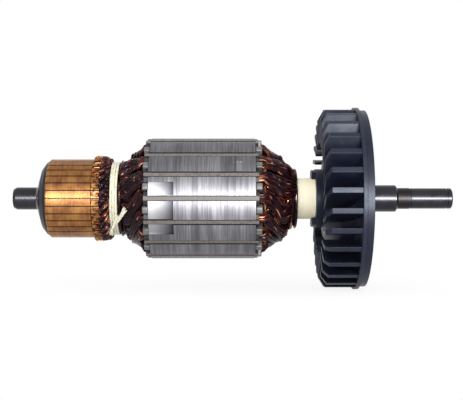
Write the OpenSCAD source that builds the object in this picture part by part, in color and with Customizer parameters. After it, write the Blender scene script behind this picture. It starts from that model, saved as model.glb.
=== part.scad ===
// Armature of a universal motor for a large angle grinder.
// The shaft lies along X with its drive end at +X and +Z up.
// The origin is the middle of the drive-end bearing seat.

/* [Shaft] */
// Diameter of the bearing seat at the drive end
seat_d = 12; // [11:0.1:12.6]
// Length of the bearing seat at the drive end
seat_len = 14.4; // [10:0.2:20]
// Length of the taper from the bearing seat down to the relief
seat_taper = 1; // [0.4:0.1:2]
// Diameter of the relief between the bearing seat and the pinion seat
relief_d = 9.4; // [8.4:0.1:10.4]
// Length of the relief
relief_len = 5.4; // [3:0.2:8]
// Diameter of the grinding groove before the pinion seat
groove_d = 8.7; // [7.6:0.1:8.8]
// Width of the grinding groove
groove_w = 0.6; // [0.4:0.1:1]
// Diameter of the pinion seat
pinion_d = 9.2; // [9:0.1:9.8]
// Length of the pinion seat
pinion_len = 15.8; // [10:0.2:22]
// Diameter at the bottom of the retaining ring groove
ring_groove_d = 8.5; // [7.6:0.1:8.8]
// Width of the retaining ring groove
ring_groove_w = 0.7; // [0.4:0.1:1.2]
// Length of the shaft past the retaining ring groove
tip_len = 1.9; // [1:0.1:3]
// Chamfer on the drive end of the shaft
tip_chamfer = 0.5; // [0.2:0.1:0.9]
// Diameter of the journal at the commutator end
journal_d = 10; // [8:0.1:11]
// Length of the journal at the commutator end
journal_len = 10.4; // [7:0.2:16]
// Chamfer on the end of the journal
journal_chamfer = 1.3; // [0.4:0.1:2]
// Bare length of shaft between the journal and the commutator
shoulder_len = 1.6; // [1:0.1:4]
// Diameter of the shaft inside the commutator
bush_seat_d = 12; // [11.6:0.1:12.6]
// Diameter of the shaft inside the core
core_shaft_d = 13; // [12.8:0.1:14]

/* [Insulating sleeve] */
// Outer diameter of the sleeve
sleeve_d = 18.4; // [16.4:0.2:20]

/* [Core] */
// Diameter of the lamination stack
core_d = 54; // [52:0.5:57]
// Length of the lamination stack
core_len = 46; // [30:1:60]
// Distance from the stack to the hub of the fan
core_to_fan = 27; // [24:0.5:34]
// Radial thickness of the stack inside the slots
yoke_t = 5.8; // [4.6:0.2:6.6]
// Width of a tooth below its tip
tooth_w = 4.3; // [3.8:0.1:4.8]
// Radial thickness of a tooth tip beside the slot opening
tooth_tip_t = 1.1; // [0.9:0.1:1.5]
// Width of the slot openings
slot_opening = 2.3; // [1.8:0.1:3]

/* [Balance cuts] */
// Depth of the long cuts at the commutator side
cut_depth = 0.85; // [0.3:0.05:0.85]
// Length of the long cuts
cut_len = 10.8; // [4:0.2:20]
// Depth of the small cut
nick_depth = 0.5; // [0.2:0.1:0.8]
// Width of the small cut
nick_w = 2.8; // [1:0.2:6]
// Distance from the small cut to the fan side of the stack
nick_from_end = 7; // [3:0.5:20]

/* [Slot insulation] */
// Thickness of the slot liners
liner_t = 0.3; // [0.2:0.05:0.4]
// Length of liner and wedge past the stack at the commutator side
liner_out_rear = 2; // [0.5:0.1:2.4]
// Length of liner and wedge past the stack at the fan side
liner_out_fan = 1.4; // [0.5:0.1:2.8]
// Thickness of the wedge foot under the tooth tips
wedge_t = 0.9; // [0.6:0.1:1.2]
// Side clearance of a wedge in its slot opening
wedge_side_gap = 0.25; // [0.1:0.05:0.4]
// How far the wedge face lies below the surface of the stack
wedge_sunk = 0.3; // [0.1:0.05:0.6]

/* [End plates] */
// Thickness of the end plate at the commutator side
plate_t_rear = 2.6; // [2.4:0.1:3.4]
// Thickness of the end plate at the fan side
plate_t_fan = 3; // [2.8:0.1:3.6]
// How far the end plates lie inside the stack's outer surface
plate_inset = 0.6; // [0.2:0.1:1.2]
// Width of the end plate's teeth
plate_tooth_w = 3.8; // [3:0.1:4.2]

/* [Winding] */
// Height of the winding head at the commutator side, from the stack
head_len_rear = 14.2; // [12:0.2:16]
// Height of the winding head at the fan side, from the stack
head_len_fan = 19.4; // [16:0.2:22]
// Radius at the top of the winding head at the commutator side
head_top_r_rear = 15.9; // [14.8:0.1:17.4]
// Radius at the top of the winding head at the fan side
head_top_r_fan = 11.7; // [11.2:0.1:14]
// Thickness of a coil bundle where it climbs the winding head
bundle_t = 1.55; // [1.2:0.05:1.7]
// Gap between neighbouring coil bundles
bundle_gap = 0.45; // [0.4:0.05:0.55]

/* [Commutator] */
// Diameter over the bars
comm_d = 35.2; // [34.6:0.2:37]
// Length of the bars
bar_len = 23.7; // [16:0.5:30]
// Width of the slots between bars
bar_gap = 0.5; // [0.3:0.05:0.8]
// Depth of the slots between bars
bar_slot_depth = 0.7; // [0.3:0.1:1.2]
// Radial height of the copper above its root
bar_h = 4; // [3:0.1:5]
// Radial height of the dovetail root of a bar
root_h = 1.8; // [1.2:0.1:2.2]
// Bevel on the front edge of the bars
bar_bevel = 0.6; // [0.2:0.1:1]
// Distance from the back of the bars to the stack
bars_to_core = 22; // [19.8:0.2:26]
// Length of the resin nose in front of the bars
nose_len = 4.6; // [3:0.2:7]
// Radius at the tip of the resin nose
nose_tip_r = 9; // [8:0.2:10]
// Length of the resin collar behind the bars
collar_len = 2.2; // [1.4:0.2:3]
// Wall thickness of the bush
bush_wall = 1.5; // [1:0.1:2]

/* [Hooks and leads] */
// Length of a hook along the shaft
hook_len = 3.4; // [2.4:0.2:4.6]
// Width of a hook
hook_w = 1.7; // [1.2:0.1:2]
// Thickness of a hook
hook_t = 0.75; // [0.5:0.05:1]
// Room under a hook for its lead
hook_room = 0.9; // [0.8:0.05:1.3]
// Radius over the leads at the neck of the winding
neck_r = 15.2; // [14.6:0.1:15.8]
// Thickness of a lead behind its hook
lead_t = 1.5; // [1:0.1:1.7]
// Width of a lead behind its hook
lead_w = 2.3; // [1.6:0.1:2.4]
// Angle that the leads run round the neck on their way to the winding
lead_twist = 14; // [0:1:18]

/* [Lacing cord] */
// Width of one turn of the cord
cord_w = 1.15; // [0.8:0.05:1.4]
// Thickness of the cord
cord_t = 1.1; // [0.6:0.1:1.4]
// Turns of the cord round the neck
cord_turns = 3; // [1:1:3]

/* [Fan] */
// Diameter over the rim
fan_d = 81.6; // [76:0.4:90]
// Length of the fan along the shaft, without its lugs
fan_len = 21.9; // [20:0.2:26]
// Diameter of the hub
hub_d = 26.4; // [24:0.4:28]
// Height of the two lugs on the hub
lug_h = 1.6; // [0.6:0.1:2.4]
// Thickness of the rim
rim_t = 4.8; // [3.6:0.2:6]
// Height of the raised band on the rim
rim_band_t = 1.7; // [1:0.1:2.6]
// Step between the raised band and the rest of the rim
rim_step = 1.2; // [0.6:0.1:1.6]
// Depth of the blades below the raised band at their tips
blade_inset = 0.8; // [0.4:0.1:1.6]
// Blade thickness at the tip
blade_tip_t = 2; // [1.4:0.1:2.6]
// Blade thickness at the inner end
blade_root_t = 1.3; // [1:0.1:1.6]
// Radius of the blades' inner ends
blade_in_r = 25; // [23:0.5:28]
// Distance of the blades' front edges behind the hub's face
blade_sunk = 1.9; // [1:0.1:2.6]
// Radial length of the slope at the blades' tips
blade_slope_r = 3.8; // [2:0.2:6]
// Axial drop of that slope
blade_drop = 2.3; // [1:0.1:4]
// Angle that a blade is swept back for each natural-log unit of radius
blade_sweep = 32; // [10:1:40]
// Step from the hub's edge in to its lugs
lug_inset = 0.4; // [0.2:0.1:1]
// Wall thickness of the fan's cone
cone_wall = 2.6; // [2:0.1:3]

/* [Hidden] */
$fn = 96;
slot_count = 16;
bar_count = 2 * slot_count;
blade_count = 29;
steps = slot_count / 2;
coil_span = steps - 1;
pitch = 360 / slot_count;
bar_pitch = 360 / bar_count;
fit_gap = 0.1;
seat_gap = 0.15;
eps = 0.01;
// How far a cutting body runs past what it cuts
past = 1;
// Depth that a feature runs into the body it grows from
sink = 0.5;

// Names of the nodes
function two_digits(i) = str(i < 10 ? "0" : "", i);
coil_names = [for (i = [1:slot_count]) str("coil_", two_digits(i))];
bar_names = [for (i = [1:bar_count]) str("commutator_bar_", two_digits(i))];

// Places along the shaft
fan_right_x = -seat_len / 2;
fan_left_x = fan_right_x - fan_len;
core_right_x = fan_left_x - core_to_fan;
core_left_x = core_right_x - core_len;
bars_right_x = core_left_x - bars_to_core;
bars_left_x = bars_right_x - bar_len;
collar_x = bars_right_x + collar_len;
nose_x = bars_left_x - nose_len;
journal_x = nose_x - shoulder_len;
shaft_left_x = journal_x - journal_len;
relief_x = seat_len / 2 + seat_taper;
groove_x = relief_x + relief_len;
pinion_x = groove_x + groove_w;
ring_groove_x = pinion_x + pinion_len;
tip_x = ring_groove_x + ring_groove_w;
shaft_right_x = tip_x + tip_len;

// Radii
sleeve_r = sleeve_d / 2;
core_r = core_d / 2;
slot_in_r = sleeve_r + yoke_t;
slot_neck_r = core_r - tooth_tip_t;
plate_r = core_r - plate_inset;
bar_r = comm_d / 2;
root_r = bar_r - bar_h;
hub_r = hub_d / 2;
rim_r = fan_d / 2;
bush_r = bush_seat_d / 2 + bush_wall;

// Slots: half width between parallel teeth at a distance u from the axis
half_pitch = pitch / 2;
function tooth_gap(u, w) = (u * sin(half_pitch) - w / 2) / cos(half_pitch);
tip_slope_h = 0.9;
wedge_slope_h = 0.5;
wedge_to_coil = 0.2;
shoulder_u = slot_neck_r - tip_slope_h;
foot_u = shoulder_u - wedge_t + wedge_slope_h;
coil_top_r = foot_u - wedge_to_coil;
coil_in_r = slot_in_r + liner_t + fit_gap;
// Share of a slot's depth that its lower coil side takes
lower_share = 0.6;
coil_split_r = mix(coil_in_r, coil_top_r, lower_share);

function mix(a, b, t) = a + (b - a) * t;
function clamp01(t) = min(1, max(0, t));
function mirrored(points) = concat(points, [for (i = [len(points) - 1:-1:0]) [points[i].x, -points[i].y]]);

// A point at distance r from the axis; angle 0 faces -Y and 90 faces +Z
function on_shaft(x, r, angle) = [x, -r * cos(angle), r * sin(angle)];

module along_shaft() {
    rotate([0, 90, 0])
        children();
}

// Turns a part that faces -Y to another angle round the shaft
module at_angle(angle) {
    rotate([-angle, 0, 0])
        children();
}

// Revolves a profile of [distance along the shaft, radius] points
module turned(profile) {
    along_shaft()
        rotate_extrude()
            polygon([for (p = profile) [p.y, p.x]]);
}

// Revolves a profile through an arc centred on -Y
module turned_arc(profile, arc) {
    along_shaft()
        rotate([0, 0, -90 - arc / 2])
            rotate_extrude(angle = arc)
                polygon([for (p = profile) [p.y, p.x]]);
}

// Extrudes an outline that points towards -Y, from x0 to x1
module extruded(outline, x0, x1) {
    translate([x0, 0, 0])
        along_shaft()
            rotate([0, 0, -90])
                linear_extrude(x1 - x0)
                    polygon(outline);
}

// ---- Shaft and sleeve

module shaft() {
    journal_r = journal_d / 2;
    bush_seat_r = bush_seat_d / 2;
    shoulder_r = bush_seat_r - journal_r;
    color("#9a9ca2")
        turned([
            [shaft_left_x, 0],
            [shaft_left_x, journal_r - journal_chamfer / 2],
            [shaft_left_x + journal_chamfer, journal_r],
            [journal_x, journal_r],
            [journal_x + shoulder_r, bush_seat_r],
            [collar_x, bush_seat_r],
            [collar_x, core_shaft_d / 2],
            [fan_right_x, core_shaft_d / 2],
            [fan_right_x, seat_d / 2],
            [seat_len / 2, seat_d / 2],
            [relief_x, relief_d / 2],
            [groove_x, relief_d / 2],
            [groove_x, groove_d / 2],
            [pinion_x, groove_d / 2],
            [pinion_x, pinion_d / 2],
            [ring_groove_x, pinion_d / 2],
            [ring_groove_x, ring_groove_d / 2],
            [tip_x, ring_groove_d / 2],
            [tip_x, pinion_d / 2],
            [shaft_right_x - tip_chamfer, pinion_d / 2],
            [shaft_right_x, pinion_d / 2 - tip_chamfer],
            [shaft_right_x, 0]
        ]);
}

module shaft_sleeve() {
    color("#efe6cc")
        turned([
            [collar_x, core_shaft_d / 2],
            [collar_x, sleeve_r],
            [fan_left_x, sleeve_r],
            [fan_left_x, core_shaft_d / 2]
        ]);
}

// ---- Core

slot_outline = mirrored([
    [slot_in_r, tooth_gap(slot_in_r, tooth_w)],
    [shoulder_u, tooth_gap(shoulder_u, tooth_w)],
    [slot_neck_r, slot_opening / 2],
    [core_r + past, slot_opening / 2]
]);

// Angle at the edge of a tooth tip, measured from the middle of its slot
tip_edge = asin(slot_opening / 2 / core_r);
// Long cuts as [middle angle, arc], on the teeth beside the front slot
tip_arc = pitch - 2 * tip_edge;
long_cuts = [
    [tip_edge + 0.37 * tip_arc, 0.69 * tip_arc],
    [-half_pitch, tip_arc],
    [-pitch - tip_edge - 0.29 * tip_arc, 0.58 * tip_arc]
];

module cut(angle, arc, depth, x0, x1) {
    out_r = core_r + past;
    at_angle(angle)
        turned_arc([[x0, core_r - depth], [x0, out_r], [x1, out_r], [x1, core_r - depth]], arc);
}

// The small cut lies on the second tooth above the front slot
nick_angle = 1.5 * pitch - 2.5;
nick_arc = 11;

module lamination_stack() {
    nick_x = core_right_x - nick_from_end;
    color("#b9bcc2")
        difference() {
            turned([
                [core_left_x, sleeve_r],
                [core_left_x, core_r],
                [core_right_x, core_r],
                [core_right_x, sleeve_r]
            ]);
            for (i = [0:slot_count - 1])
                at_angle(i * pitch)
                    extruded(slot_outline, core_left_x - past, core_right_x + past);
            for (c = long_cuts)
                cut(c[0], c[1], cut_depth, core_left_x - past, core_left_x + cut_len);
            cut(nick_angle, nick_arc, nick_depth, nick_x - nick_w / 2, nick_x + nick_w / 2);
        }
}

// Fibre plate with teeth like the stack's, but with open slots that flare outwards
module end_plate(x0, x1) {
    flare = 0.5;
    plate_slot = mirrored([
        [slot_in_r, tooth_gap(slot_in_r, tooth_w) + eps],
        [plate_r + past, tooth_gap(plate_r + past, plate_tooth_w) + flare]
    ]);
    difference() {
        turned([[x0, sleeve_r], [x0, plate_r], [x1, plate_r], [x1, sleeve_r]]);
        for (i = [0:slot_count - 1])
            at_angle(i * pitch)
                extruded(plate_slot, x0 - past, x1 + past);
    }
}

module end_plate_commutator_side() {
    color("#8d8983")
        end_plate(core_left_x - plate_t_rear, core_left_x);
}

module end_plate_fan_side() {
    color("#8d8983")
        end_plate(core_right_x, core_right_x + plate_t_fan);
}

// Slot outline moved in from the slot's walls, from its bottom up to u
function lining(inset, u) = [
    [slot_in_r + inset, tooth_gap(slot_in_r + inset, tooth_w) - inset],
    [u, tooth_gap(u, tooth_w) - inset]
];

module slot_liners() {
    outer = lining(eps, foot_u);
    inner = lining(liner_t, foot_u);
    liner = concat(
        [outer[1], outer[0]],
        [[outer[0].x, -outer[0].y], [outer[1].x, -outer[1].y]],
        [[inner[1].x, -inner[1].y], [inner[0].x, -inner[0].y]],
        [inner[0], inner[1]]
    );
    color("#cfc8b4")
        for (i = [0:slot_count - 1])
            at_angle(i * pitch)
                extruded(liner, core_left_x - liner_out_rear, core_right_x + liner_out_fan);
}

module slot_wedges() {
    rib = slot_opening / 2 - wedge_side_gap;
    wedge = mirrored([
        [foot_u + eps, tooth_gap(foot_u, tooth_w) - fit_gap],
        [shoulder_u, tooth_gap(shoulder_u, tooth_w) - fit_gap],
        [slot_neck_r - fit_gap, slot_opening / 2],
        [slot_neck_r - fit_gap, rib],
        [core_r - wedge_sunk, rib]
    ]);
    color("#d8d0bd")
        for (i = [0:slot_count - 1])
            at_angle(i * pitch)
                extruded(wedge, core_left_x - liner_out_rear, core_right_x + liner_out_fan);
}

// ---- Winding
// Each coil runs down one slot and back up another, seven slots on. Two coils
// are wound at a time on opposite sides of the shaft, in eight steps. At each
// end a coil climbs its winding head to the level of its step, turns in, and
// passes beside the sleeve. Left sides climb in an inner shell and right sides
// in an outer one, so the bundles cross. The last left sides climb in the outer
// shell too, and swell inwards over the layers that have turned in below them.

side_face = [core_left_x, core_right_x];
side_way = [-1, 1];
// Distance of the first level from the stack, and height of a level
plate_to_coil = 0.3;
level_0 = [plate_t_rear + plate_to_coil, plate_t_fan + plate_to_coil];
level_h = [(head_len_rear - level_0[0]) / steps, (head_len_fan - level_0[1]) / steps];
head_top_r = [head_top_r_rear, head_top_r_fan];
// Share of the way from the top radius out to the base radius, at shares of the height
head_curve = [
    [[0, 1], [0.18, 0.74], [0.42, 0.55], [0.66, 0.39], [0.85, 0.25], [1, 0]],
    [[0, 1], [0.18, 0.84], [0.35, 0.69], [0.52, 0.59], [0.69, 0.48], [0.86, 0.24], [1, 0]]
];
// As the coils of the lower steps turn in, those that climb on spread out over
// the room that they leave, up to this level
spread_top = 3.2;
// Coil whose first side lies in the slot that faces the front
front_slot = 13;
// How far inner bundles have risen below the split where they leave the slot
slot_lift = 2.6;
// Share of that room that left sides take on their far side
left_lean = 0.16;
// Level at which the last left sides are thickest, and levels that the swell takes
swell_at = 5;
swell_before = 2;
swell_after = 1;
bundle_half = 0.43 * pitch;
turn_in = 0.11 * pitch;
lift_r = coil_split_r - slot_lift;
strip_step = 24;
widest_half = bundle_half * steps / (steps - spread_top);
strip_in_r = (sleeve_r + fit_gap) / cos((1.6 * widest_half + turn_in) / 2);

INNER = 0;
OUTER = 1;
LAST = 2;

// Corners of a bundle's section: [inner to outer side of the loop, inner to outer radius]
section = [[-0.6, 0], [0.6, 0], [1, 0.28], [1, 0.72], [0.6, 1], [-0.6, 1], [-1, 0.72], [-1, 0.28]];

function level_x(side, n) = side_face[side] + side_way[side] * (level_0[side] + n * level_h[side]);
function head_r(side, n) = mix(head_top_r[side], coil_top_r, lookup(n / steps, head_curve[side]));

// Inner and outer radius of a climbing bundle at a level
function slot_band(kind) = kind == INNER
    ? [lift_r, coil_split_r - bundle_gap / 2]
    : [coil_split_r + bundle_gap / 2, coil_top_r];
function shell_band(side, kind, n) =
    let (r = head_r(side, n))
    let (share = n < swell_at ? (swell_at - n) / swell_before : (n - swell_at) / swell_after)
    let (swell = (1 - clamp01(share)) * (bundle_t + bundle_gap))
    kind == LAST ? [r - bundle_t - swell, r]
    : kind == OUTER ? [r - bundle_t, r]
    : [r - 2 * bundle_t - bundle_gap, r - bundle_t - bundle_gap];
function band(side, kind, n) =
    let (t = clamp01(n))
    let (a = slot_band(kind))
    let (b = shell_band(side, kind, max(n, 0)))
    [mix(a[0], b[0], t), mix(a[1], b[1], t)];

function spread(n) = min(max(0, n - 1), spread_top);
function spread_half(n) = bundle_half * steps / (steps - spread(n));

function half_in_slot(r) = atan((tooth_gap(r, tooth_w) - liner_t - fit_gap) / r);
function half_angle(n, r) = mix(half_in_slot(r), spread_half(n), clamp01(n));

function kind_of(step, right) =
    right ? (step == 0 ? INNER : OUTER)
    : (step == steps - 1 ? LAST : INNER);

// Middle of a climbing bundle, in degrees round the shaft
function climb_angle(slot, step, right, n) =
    let (m = spread(n))
    let (place = (right ? 0 : left_lean) * m + steps * (step + 0.5 - m) / (steps - m) - 0.5)
    pitch * (slot - step + place + (right ? coil_span : 0));

function coil_point(side, n, r, turn) = on_shaft(level_x(side, n), r, turn - pitch * front_slot);

function climb_ring(side, slot, step, right, n) =
    let (kind = kind_of(step, right))
    let (edges = band(side, kind, n))
    let (way = right ? -1 : 1)
    [for (s = section)
        let (r = mix(edges[0], edges[1], s[1]))
        coil_point(side, n, r, climb_angle(slot, step, right, n) + way * s[0] * half_angle(n, r))];

function slot_ring(side, slot, step, right) =
    let (kind = kind_of(step, right))
    let (edges = kind == INNER ? [coil_in_r, coil_split_r - bundle_gap / 2] : slot_band(kind))
    let (way = right ? -1 : 1)
    [for (s = section)
        let (r = mix(edges[0], edges[1], s[1]))
        coil_point(side, -level_0[side] / level_h[side], r,
            climb_angle(slot, step, right, 0) + way * s[0] * half_in_slot(r))];

// Level of a section corner within the layer of a step
function layer_level(side, step, s) =
    step + (1 - bundle_gap / level_h[side]) * (1 - s[0]) / 2;

function corner_ring(side, slot, step, right) =
    let (kind = kind_of(step, right))
    let (way = right ? -1 : 1)
    [for (s = section)
        let (n = layer_level(side, step, s))
        let (r = mix(strip_in_r, band(side, kind, n)[1], s[1]))
        let (half = step == 0 ? half_in_slot(max(r, coil_in_r)) : spread_half(n))
        coil_point(side, n, r, climb_angle(slot, step, right, n) + way * s[0] * half)];

function strip_out_r(side, step, n) =
    step == steps - 1 ? band(side, OUTER, n)[1]
    : step == steps - 2 ? band(side, OUTER, n)[0] - bundle_gap
    : band(side, INNER, n)[0] - bundle_gap;

function strip_ring(side, step, turn) =
    [for (s = section)
        let (n = layer_level(side, step, s))
        coil_point(side, n, mix(strip_in_r, strip_out_r(side, step, n), s[1]), turn)];

function strip_rings(side, slot, step) =
    let (half = step == 0 ? half_in_slot(coil_split_r) : spread_half(step))
    let (from = climb_angle(slot, step, false, step + 0.5) + half + turn_in)
    let (to = climb_angle(slot, step, true, step + 0.5) - half - turn_in)
    let (count = ceil((to - from) / strip_step))
    [for (i = [0:count]) strip_ring(side, step, mix(from, to, i / count))];

// Levels of the rings on a climbing bundle, up to just below its layer
below_layer = 0.12;
function climb_levels(step) = concat([for (n = [0:1:step - 1]) n], [step - below_layer]);

function end_turn(side, slot, step) = concat(
    [slot_ring(side, slot, step, false)],
    [for (n = climb_levels(step)) climb_ring(side, slot, step, false, n)],
    [corner_ring(side, slot, step, false)],
    strip_rings(side, slot, step),
    [corner_ring(side, slot, step, true)],
    [for (n = reversed(climb_levels(step))) climb_ring(side, slot, step, true, n)],
    [slot_ring(side, slot, step, true)]
);

function reversed(list) = [for (i = [len(list) - 1:-1:0]) list[i]];
function flattened(lists) = [for (list = lists) each list];

// Faces between ring i and ring j of a tube with the given count of corners. The
// inward faces are split the other way, so that a twisted bundle doesn't sag
function band_faces(i, j, corners) =
    [for (k = [0:corners - 1])
        let (m = (k + 1) % corners)
        let (a = i * corners + k)
        let (b = i * corners + m)
        let (c = j * corners + m)
        let (d = j * corners + k)
        each k < 2 || m == 0 ? [[a, b, d], [b, c, d]] : [[a, c, d], [a, b, c]]];

module closed_loop(rings) {
    corners = len(rings[0]);
    polyhedron(
        points = flattened(rings),
        faces = [for (i = [0:len(rings) - 1]) each band_faces(i, (i + 1) % len(rings), corners)]
    );
}

module capped_tube(rings) {
    corners = len(rings[0]);
    last = (len(rings) - 1) * corners;
    polyhedron(
        points = flattened(rings),
        faces = concat(
            [for (i = [0:len(rings) - 2]) each band_faces(i, i + 1, corners)],
            [for (k = [1:corners - 2]) [0, k + 1, k]],
            [for (k = [1:corners - 2]) [last, last + k, last + k + 1]]
        )
    );
}

module coil(index) {
    step = index % steps;
    slot = index;
    color("#4a2a20")
        closed_loop(concat(end_turn(0, slot, step), reversed(end_turn(1, slot, step))));
}

// A lead leaves its hook, rises over the collar's edge and falls to the neck, where
// the cord holds it. Stations as [distance behind the bars, radius, half width,
// half thickness, share of the twist]
module coil_leads() {
    hook_fit = 0.06;
    lead_fit = 0.12;
    crest = [1.3, bar_r + 0.7];
    fall = [2.6, bar_r + fit_gap];
    hooked_r = bar_r + hook_room / 2;
    hooked_t = hook_room / 2 - hook_fit;
    half_w = hook_w / 2 - hook_fit;
    neck_mid = neck_r - lead_t / 2;
    cord_from = cord_left_x - bars_right_x;
    neck_w = min(lead_w / 2, neck_mid * sin(bar_pitch / 2) - lead_fit);
    route = [
        [hook_t + fit_gap - hook_len, hooked_r, half_w, hooked_t, 0],
        [fit_gap, hooked_r, half_w, hooked_t, 0],
        [crest.x, crest.y, lead_w / 2, lead_t / 2, 0.15],
        [fall.x, fall.y, lead_w / 2, lead_t / 2, 0.5],
        [cord_from - 2 * fit_gap, neck_mid, neck_w, lead_t / 2, 1],
        [neck_right_x - bars_right_x, neck_mid, neck_w, lead_t / 2, 1]
    ];
    color("#7a3d1c")
        for (i = [0:bar_count - 1])
            at_angle((i + 0.5) * bar_pitch)
                capped_tube([for (p = route) lead_ring(p)]);
}

function lead_ring(p) =
    [for (a = [0:60:300])
        let (r = norm([p[1] + p[3] * sin(a), p[2] * cos(a)]))
        let (angle = atan(p[2] * cos(a) / (p[1] + p[3] * sin(a))))
        on_shaft(bars_right_x + p[0], r, lead_twist * p[4] - angle)];

// ---- Lacing cord

neck_right_x = core_left_x - head_len_rear - seat_gap;
cord_left_x = neck_right_x - cord_turns * cord_w;
cord_r = neck_r + seat_gap;

// Rounded outside of one turn, as shares of the cord's [width, thickness]
turn_shares = [[0, 0.6], [0.2, 0.92], [0.5, 1], [0.8, 0.92]];
function cord_turn(x) = [for (share = turn_shares) [x + cord_w * share[0], cord_r + cord_t * share[1]]];

// Loose ends past the knot: [x from the neck's right edge, height over the cord, angle from the knot]
knot_angle = -42;
upper_end = [[-1.7, 0.5, -4], [-0.8, 1.6, 2], [0.9, 3.6, 12], [2.6, 5.2, 22], [4.2, 6.2, 30]];
lower_end = [[-1.2, 0.5, 4], [-2.4, 1.7, -6], [-3.2, 2.1, -14], [-3.6, 2.3, -24]];
end_half_w = cord_w * 0.55;
end_half_t = cord_t * 0.4;

// Rings of a flat ribbon along a route, square to its local direction
function ribbon(route, half_w, half_t) =
    [for (i = [0:len(route) - 1])
        let (a = route[max(i - 1, 0)])
        let (b = route[min(i + 1, len(route) - 1)])
        let (way = (b - a) / norm(b - a))
        let (p = route[i])
        let (out = [0, p.y, p.z] / norm([0, p.y, p.z]))
        let (side = cross(way, out) / norm(cross(way, out)))
        let (up = cross(side, way))
        [for (t = [0:45:315]) p + side * half_w * cos(t) + up * half_t * sin(t)]];

module cord_end(points) {
    route = [for (p = points) on_shaft(neck_right_x + p[0], cord_r + cord_t / 2 + p[1], knot_angle + p[2])];
    capped_tube(ribbon(route, end_half_w, end_half_t));
}

module lacing_cord() {
    color("#e9e2c4") {
        turned(concat(
            [[cord_left_x, cord_r]],
            [for (i = [0:cord_turns - 1]) each cord_turn(cord_left_x + i * cord_w)],
            [[neck_right_x, cord_turn(0)[0].y], [neck_right_x, cord_r]]
        ));
        cord_end(upper_end);
        cord_end(lower_end);
    }
}

// ---- Commutator

// Distance of the dovetail root from the bar's ends, at its neck and at its foot
neck_in = 2.2;
foot_in = 1.2;

// Profile of a bar from its dovetail root outwards, as [x, radius]
bar_profile = [
    [bars_left_x, bar_r - bar_bevel],
    [bars_left_x + bar_bevel, bar_r],
    [bars_right_x, bar_r],
    [bars_right_x, root_r],
    [bars_right_x - neck_in, root_r],
    [bars_right_x - foot_in, root_r - root_h],
    [bars_left_x + foot_in, root_r - root_h],
    [bars_left_x + neck_in, root_r],
    [bars_left_x, root_r]
];

module bar_body() {
    turned_arc(bar_profile, bar_pitch - bar_gap / bar_r * 180 / PI);
}

// Hook rising from the bar and folded back over its lead
module bar_hook() {
    bend = 0.4;
    tip_slope = 0.3;
    front = bars_right_x - hook_len;
    foot = bar_r - sink;
    top = bar_r + hook_room + hook_t;
    outline = [
        [front, foot],
        [front, top - bend],
        [front + bend, top],
        [bars_right_x - tip_slope, top],
        [bars_right_x, top - hook_t],
        [front + hook_t, top - hook_t],
        [front + hook_t, foot]
    ];
    translate([0, 0, -hook_w / 2])
        linear_extrude(hook_w)
            polygon([for (p = outline) [p.x, -p.y]]);
}

module commutator_bar(index) {
    color("#c98a45")
        at_angle((index + 0.5) * bar_pitch) {
            bar_body();
            bar_hook();
        }
}

// Bulge of the resin nose, as shares of its [length, height]
nose_shares = [[0.35, 0.62], [0.75, 0.92]];

module commutator_moulding() {
    resin_r = bar_r - bar_slot_depth;
    color("#23222a")
        difference() {
            turned(concat(
                [[nose_x, bush_r], [nose_x, nose_tip_r]],
                [for (s = nose_shares) [mix(nose_x, bars_left_x, s[0]), mix(nose_tip_r, resin_r, s[1])]],
                [[bars_left_x, resin_r], [bars_right_x, resin_r]],
                [[bars_right_x, root_r], [collar_x, root_r], [collar_x, bush_r]]
            ));
            for (i = [0:bar_count - 1])
                at_angle((i + 0.5) * bar_pitch)
                    bar_body();
        }
}

module commutator_bush() {
    color("#b8bbc0")
        turned([
            [nose_x, bush_seat_d / 2],
            [nose_x, bush_r],
            [collar_x, bush_r],
            [collar_x, bush_seat_d / 2]
        ]);
}

// ---- Fan

rim_left_x = fan_right_x - rim_t;
blade_out_r = rim_r - blade_inset;
first_blade = 0.4;
lug_arc = 44;
// Walls round the hollow, the slope of its outer side, and its drop at the hub
hub_wall = 3.2;
rim_wall = 4.2;
hollow_slope = 1.5;
hollow_drop = 2;

// Front of the cone as shares of [hub to rim radius, hub face to rim face]
cone_shares = [[0, 0.19], [0.16, 0.235], [0.33, 0.4], [0.52, 0.66], [0.72, 0.87], [0.9, 0.98], [1, 1]];
function cone_point(share, depth) = [
    mix(fan_left_x, rim_left_x, share[1]) + depth,
    mix(hub_r, rim_r - rim_step, share[0])
];

module fan_disc() {
    band_x = rim_left_x + rim_band_t;
    turned(concat(
        [[fan_left_x, core_shaft_d / 2], [fan_left_x, hub_r]],
        [for (share = cone_shares) cone_point(share, 0)],
        [[rim_left_x, rim_r], [band_x, rim_r]],
        [[band_x, rim_r - rim_step], [fan_right_x, rim_r - rim_step]],
        [[fan_right_x, core_shaft_d / 2]]
    ));
}

// Hollow behind the cone, open to the back
module fan_hollow() {
    hollow_out_r = rim_r - rim_step - rim_wall;
    hollow_in_r = hub_r + hub_wall;
    turned([
        [fan_right_x + past, hollow_out_r],
        [rim_left_x + cone_wall, hollow_out_r - hollow_slope],
        cone_point(cone_shares[4], cone_wall),
        cone_point(cone_shares[3], cone_wall),
        [cone_point(cone_shares[2], cone_wall).x + hollow_drop, hollow_in_r],
        [fan_right_x + past, hollow_in_r]
    ]);
}

// Swept outline of one blade, thickening towards its tip
blade_stations = [0, 0.2, 0.4, 0.6, 0.8, 1.04];
function blade_side(way) =
    [for (share = blade_stations)
        let (r = mix(blade_in_r, blade_out_r, share))
        let (half_t = mix(blade_root_t, blade_tip_t, share) / 2 / cos(atan(blade_sweep * PI / 180)))
        let (angle = blade_sweep * ln(blade_out_r / r) + way * half_t / r * 180 / PI)
        [r * cos(angle), r * sin(angle)]];

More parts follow.
